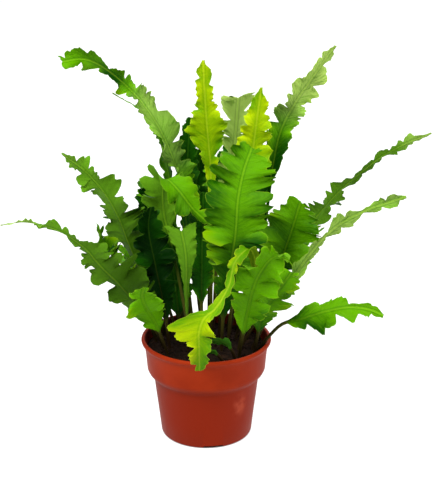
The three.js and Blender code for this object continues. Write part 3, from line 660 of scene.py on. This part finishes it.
# How deep the notch before a lobe is cut
def notchDepth(seed, side, lobe, fade):
    return blade["notch"] * mix(0.35, 1.6, scatter(seed + lobe * 3.7 + side * 11.3)) * fade


# One side's edge at a place along the blade: how far its lobe reaches, how far a tooth stands out of it,
# how high it waves, how it curls and frills, how far it bends forward, and how light it is
def edgeAt(seed, side, lobePlace, share, lobing):
    place = lobePlace + (blade["sideShift"] if side > 0 else 0)
    lobe = math.floor(place)
    within = place - lobe
    fade = min(1, share / blade["fullLobes"])
    own = scatter(seed + lobe * 3.7 + side * 11.3)
    following = scatter(seed + (lobe + 1) * 3.7 + side * 11.3)
    passing = smooth(0.62, 1.0, within)
    own = mix(own, following, passing)
    bends = [scatter(seed * 1.9 + number * 6.1 + side * 7.7) for number in (lobe, lobe + 1)]
    tones = [scatter(seed * 2.7 + number * 4.3 + side * 9.1) for number in (lobe, lobe + 1)]
    sinus = (1 - math.sin(math.pi * (within + within ** 2) / 2)) ** blade["sinus"]
    notch = notchDepth(seed, side, lobe if within < 0.6 else lobe + 1, fade)
    cleft = (1 - abs(math.sin(math.pi * (within + within ** 2)))) ** 2 * math.sin(math.pi * within)
    minor = blade["minor"] * scatter(seed * 3.3 + lobe * 2.9 + side * 6.7) * cleft * fade
    cut = min(blade["deepest"], lobing * notch) * sinus
    reach = 1 - cut - lobing * minor + mix(-0.05, 0.05, own) * fade

    tooth = place * blade["teeth"] * (blade["closeTeeth"] if lobing < 1 else 1) + scatter(seed + side)
    size = mix(0.25, 1.25, scatter(seed * 1.3 + math.floor(tooth) * 2.1 + side * 4.7))
    rising = tooth - math.floor(tooth)
    toothReach = blade["toothDepth"] * size * (rising ** 1.3 - 0.45) * fade * (1 - sinus)
    fine = place * blade["fineTeeth"] + scatter(seed + side + 4)
    fineOwn = mix(0.4, 1.2, scatter(seed * 2.3 + math.floor(fine) * 1.7 + side * 3.1))
    toothReach += blade["fineDepth"] * fineOwn * (fine - math.floor(fine) - 0.5) * fade

    phase = math.pi * (place + 0.5 * scatter(seed + side * 5.1))
    wave = lobing * blade["wave"] * fade * math.sin(phase) * mix(0.6, 1.3, own)
    upOrDown = 2 * scatter(seed + lobe * 5.3 + side * 2.9) - 1
    curl = blade["curl"] * fade * math.sin(math.pi * within) * upOrDown
    frill = blade["frill"] * fade * math.sin(2 * math.pi * (1.7 * place + 0.5 * math.sin(2.3 * place + seed)))
    forward = blade["reachForward"] * fade * (2 * mix(bends[0], bends[1], passing) - 1)
    return {"reach": reach, "tooth": toothReach, "wave": wave, "curl": curl * lobing, "frill": frill,
            "forward": forward * lobing, "tone": mix(tones[0], tones[1], passing)}


# Places across the skin: over the top from one edge to the other, and back under it
over = [(share, 1) for share in reversed(blade["columns"])]
over += [(-share, 1) for share in blade["columns"][1:]]
around = over + [(share, -1) for share, _ in reversed(over)]
around.append(around[0])


# One row of the skin. Stalk rows are round, and a blade row is a thin waved section with a raised midrib.
def skinRow(frond, seed, point, tangent, across, up, lobePlace, share):
    radius = blade["stalkRadius"]
    slim = smooth(0, blade["foot"], share)
    tip = 1 - blade["tipThin"] * share
    half = max(alongList(frond["widths"], share) / 2, 1)
    lean = alongList(frond.get("lean", [0, 0]), share)
    fold = math.radians(frond["fold"])
    edges = {side: edgeAt(seed, side, lobePlace, share, frond.get("lobing", 1)) for side in (1, -1)}
    ribWide = mix(radius, blade["ribTip"], slim) * tip
    # pale: above 0 partly painted sheen, below 0 painted shade
    pale = alongList(frond.get("pale", [0, 0]), share)
    height = mix(0.75, 1.45, smooth(8, 30, half))
    row, places = [], []
    for reachShare, face in around:
        side = 1 if reachShare >= 0 else -1
        edge = edges[side]
        body = max(half * edge["reach"] * (1 + side * lean), 1)
        calm = min(1, body / blade["waveFullAt"])
        out = max(body + edge["tooth"] * calm, 1)
        t = abs(reachShare)
        x = out * t
        if t <= blade["ribColumn"]:
            x = min(x, ribWide * t / blade["ribEnd"])
        t = x / out
        rise = x * math.sin(fold)
        swell = calm * height * (edge["wave"] * t ** 1.6 + edge["curl"] * t ** 3)
        rise += swell + calm * edge["frill"] * t ** 4
        veins = 3 * (lobePlace + (blade["sideShift"] if side > 0 else 0)) - 1.5 * t
        rise += blade["quilt"] * slim * calm * math.cos(2 * math.pi * veins) * t * (1 - t) * 4
        ridge = math.sqrt(max(0, 1 - (x / ribWide) ** 2)) * ribWide
        ribShare = blade["ribRise"] if face > 0 else blade["ribUnder"]
        thick = max(blade["edgeHalf"] * tip, ridge * ribShare)
        roundness = radius * math.sqrt(max(0, 1 - min(1, x / max(out, radius)) ** 2))
        thick = mix(roundness, thick, slim)
        level = point + across * (side * x * math.cos(fold)) + up * (rise + face * thick)
        endTeeth = blade["endTeeth"] * calm * abs(math.sin(math.pi * 2.2 * t + seed)) * smooth(0.95, 1, share)
        ahead = x * blade["sweep"] + calm * edge["forward"] * t ** 2 - endTeeth
        row.append(level + tangent * ahead)
        places.append({"across": side * t, "share": share, "offset": side * x, "face": face,
                       "inside": out - x, "veins": veins, "pale": pale, "tone": edge["tone"]})
    return row, places


def storeVectors(obj, name, vectors):
    attribute = obj.data.attributes.new(name, "FLOAT_VECTOR", "POINT")
    attribute.data.foreach_set("vector", [value for vector in vectors for value in vector])


def growFrond(frond, seed):
    x, y = frond["root"]
    start = Vector((x, y, blade["stalkRows"][-1]))
    midrib = Midrib([start, *frond["via"]])
    bare = frond["bare"] / midrib.length
    upright = Vector((0, 0, 1))
    rows, places = [], []

    def addRow(point, tangent, share, lobePlace, bladeShare, length):
        across, up = frameOf(frond, tangent, share)
        row, rowPlaces = skinRow(frond, seed, point, tangent, across, up, lobePlace, bladeShare)
        rows.append(row)
        places.extend({**place, "length": length} for place in rowPlaces)

    for z in blade["stalkRows"]:
        addRow(Vector((x, y, z)), upright, 0, 0, 0, 0)
    steps = max(2, round(frond["bare"] / blade["stalkStep"]))
    for i in range(1, steps + 1):
        share = bare * i / steps
        addRow(midrib.pointAt(share), midrib.tangentAt(share), share, 0, 0, share * midrib.length)
    lobes = max(2, round((midrib.length - frond["bare"]) / frond.get("lobe", blade["lobePitch"])))
    count = round((midrib.length - frond["bare"]) / blade["rowStep"])
    for i in range(1, count + 1):
        bladeShare = unevenShare(i / count, seed)
        share = mix(bare, 1, bladeShare)
        tangent = midrib.tangentAt(share)
        addRow(midrib.pointAt(share), tangent, share, i / count * lobes, bladeShare, share * midrib.length)

    deselectAll()
    bpy.ops.mesh.primitive_grid_add(x_subdivisions=len(around) - 1, y_subdivisions=len(rows) - 1,
                                    size=0.1, location=(0, 0, 0))
    obj = bpy.context.object
    obj.name = "fern_" + frond["name"]
    placeVertices(obj, [point * mm for row in rows for point in row])

    light = frond.get("light", scatter(seed * 0.71 + 3))
    storeVectors(obj, "leafPlace", [(p["across"], p["share"], 0) for p in places])
    storeVectors(obj, "leafSize", [(p["offset"] * mm, p["length"] * mm, p["face"]) for p in places])
    storeVectors(obj, "leafTone", [(light, p["inside"] * mm, p["veins"]) for p in places])
    storeVectors(obj, "leafShade", [(p["pale"], p["tone"], 0) for p in places])

    editAll(obj)
    bpy.ops.mesh.remove_doubles(threshold=1e-6)
    bpy.ops.mesh.select_all(action="DESELECT")
    bpy.ops.mesh.select_non_manifold(extend=False)
    bpy.ops.mesh.fill_holes(sides=0)
    bpy.ops.mesh.select_all(action="SELECT")
    bpy.ops.mesh.normals_make_consistent(inside=False)
    bpy.ops.object.mode_set(mode="OBJECT")
    bpy.ops.object.shade_smooth_by_angle(angle=math.radians(blade["smoothAngle"]))
    return obj


leafLooks = {
    "leaf": {"deep": srgb(16, 74, 0), "fresh": srgb(96, 162, 0), "edge": srgb(158, 196, 40),
             "lit": srgb(150, 190, 0), "pale": srgb(174, 202, 98), "under": srgb(104, 156, 30),
             "glow": srgb(92, 176, 0)},
    "young": {"deep": srgb(92, 152, 0), "fresh": srgb(178, 204, 0), "edge": srgb(206, 220, 60),
              "lit": srgb(190, 212, 4), "pale": srgb(170, 204, 60), "under": srgb(140, 186, 24),
              "glow": srgb(186, 220, 0)},
    # dark is a darker copy of the leaf look for fronds deep in the plant and under others: painted shade
    "dark": {"deep": srgb(4, 42, 0), "fresh": srgb(30, 92, 2), "edge": srgb(90, 140, 34),
             "lit": srgb(90, 148, 4), "pale": srgb(110, 150, 60), "under": srgb(56, 108, 22),
             "glow": srgb(48, 120, 0)},
}
leafPattern = {
    "toneRange": (0.75, 1.65), "yellow": 0.55, "darken": -0.8,
    "veinWidth": (0.42, 0.5), "veinShare": 0.08,
    # metres from the blade's edge or from the middle of its midrib
    "rimWidth": (0.0008, 0.0001), "rimShare": 0.4,
    "ribWidth": (0.0009, 0.0004), "ribShare": 0.2,
    "shadowStart": (0.0009, 0.0012), "shadowEnd": (0.0026, 0.0014), "shadowShare": 0.35,
    "rough": (0.38, 0.52), "cellScale": 420, "glowShare": 0.4, "through": 0.28,
}


def leafMaterial(name, look):
    nodes = Nodes(name)
    where = nodes.add("TexCoord").outputs["Object"]

    # The numbers that growFrond has stored in an attribute
    def stored(attribute):
        vector = nodes.add("Attribute", attribute_name=attribute).outputs["Vector"]
        return nodes.add("SeparateXYZ", {0: vector}).outputs

    across, share = stored("leafPlace")[:2]
    offset, length, face = stored("leafSize")
    own, inside, veins = stored("leafTone")
    pale, lobeTone = stored("leafShade")[:2]
    out = nodes.math("ABSOLUTE", across)
    away = nodes.math("ABSOLUTE", offset)
    greyAndSheen = nodes.math("MAXIMUM", pale, 0)
    paintedShade = nodes.math("MINIMUM", pale, 0)

    # upper side: deep green at the foot and in the hollows, fresher towards the tip and the edge;
    # the deep green in the hollows is painted shade
    cloud = nodes.noise(where, 24, 3)
    mottle = nodes.noise(where, 190, 4)
    alongVein = nodes.add("CombineXYZ", {0: nodes.times(veins, 2.2), 1: nodes.times(own, 40),
                                         2: nodes.times(across, 1.3)}).outputs[0]
    streak = nodes.noise(alongVein, 1.7, 4, 0.65)
    tone = nodes.times(cloud, 0.8)
    for part, weight in ((share, 0.5), (mottle, 0.2), (streak, 0.7), (own, 0.25)):
        tone = nodes.plus(tone, nodes.times(part, weight))
    lift = nodes.times(nodes.math("SUBTRACT", lobeTone, 0.45), nodes.times(out, 1.2))
    # pale below 0 lowers the tone: painted shade
    tone = nodes.plus(nodes.plus(tone, lift), paintedShade)
    colour = nodes.blend(nodes.step(tone, *leafPattern["toneRange"]), look["deep"], look["fresh"])

    # the lightest lobes turn yellow towards the edge
    yellow = nodes.times(nodes.step(lobeTone, 0.8, 0.98), nodes.step(out, 0.5, 1.0))
    colour = nodes.blend(nodes.times(yellow, leafPattern["yellow"]), colour, look["lit"])
    # pale above 0 greys the blade in streaks: partly a paler tone of its own, partly painted sheen
    greyed = nodes.times(greyAndSheen, nodes.step(streak, 0.2, 0.6))
    colour = nodes.blend(greyed, colour, look["pale"])

    # side veins run out from the midrib towards the lobes
    vein = nodes.math("ABSOLUTE", nodes.math("SUBTRACT", nodes.math("FRACT", veins), 0.5))
    veinLine = nodes.times(nodes.step(vein, *leafPattern["veinWidth"]), nodes.step(away, 0.0, 0.002))
    colour = nodes.blend(nodes.times(veinLine, leafPattern["veinShare"]), colour, look["edge"])
    rim = nodes.step(inside, *leafPattern["rimWidth"])
    colour = nodes.blend(nodes.times(rim, leafPattern["rimShare"]), colour, look["edge"])

    # the underside is paler, and then the fronds that are to be dark are darkened on both sides with painted
    # shade
    under = nodes.step(face, 0.2, -0.2)
    weak = nodes.blend(nodes.times(mottle, 0.5), look["under"], look["fresh"])
    weak = nodes.blend(greyAndSheen, weak, look["pale"])
    colour = nodes.blend(under, colour, weak)
    colour = nodes.blend(nodes.times(paintedShade, leafPattern["darken"]), colour, srgb(2, 36, 0))

    # midrib with a shadow beside it, and the stalk: brown at the foot, green above
    ribLine = nodes.step(away, *leafPattern["ribWidth"])
    ribTone = nodes.blend(nodes.step(length, 0.04, 0.12), srgb(72, 44, 20), look["edge"])
    colour = nodes.blend(nodes.times(ribLine, leafPattern["ribShare"]), colour, ribTone)
    shadow = nodes.times(nodes.step(away, *leafPattern["shadowStart"]),
                         nodes.step(away, *leafPattern["shadowEnd"]))
    colour = nodes.blend(nodes.times(shadow, leafPattern["shadowShare"]), colour, look["deep"])
    stalkTone = nodes.blend(nodes.step(length, 0.004, 0.05), srgb(40, 26, 12), srgb(82, 84, 26))
    stalkTone = nodes.blend(nodes.step(length, 0.04, 0.11), stalkTone, look["deep"])
    colour = nodes.blend(nodes.step(share, 0.06, 0.0), colour, stalkTone)

    # relief: a fine net, sunken veins and blisters between them
    cells = nodes.add("TexVoronoi", {"Vector": where, "Scale": leafPattern["cellScale"]},
                      feature="DISTANCE_TO_EDGE")
    relief = nodes.times(nodes.step(cells.outputs["Distance"], 0.0, 0.16), 0.3)
    for part, weight in ((veinLine, -0.4), (mottle, 0.8), (streak, 1.6)):
        relief = nodes.plus(relief, nodes.times(part, weight))
    rough = nodes.plus(nodes.between(mottle, *leafPattern["rough"]), nodes.times(under, 0.15))
    skin = nodes.add("BsdfPrincipled", {"Base Color": colour, "Roughness": rough, "IOR": 1.42,
                                        "Specular IOR Level": 0.07,
                                        "Normal": nodes.bump(relief, 0.5, 0.0008)})
    glow = nodes.blend(leafPattern["glowShare"], colour, look["glow"])
    through = nodes.add("BsdfTranslucent", {"Color": glow})
    shader = nodes.add("MixShader", {0: leafPattern["through"], 1: skin.outputs[0], 2: through.outputs[0]})
    return nodes.finish(shader.outputs[0])


leafMaterials = {kind: leafMaterial("leaf_" + kind, look) for kind, look in leafLooks.items()}
for index, frond in enumerate(fronds):
    leafObject = growFrond(frond, index + 1)
    leafObject.data.materials.append(leafMaterials[frond["kind"]])
    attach(leafObject, "root")
    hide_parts("frond_" + frond["name"])
print("fronds ready:", len(fronds))

deselectAll()
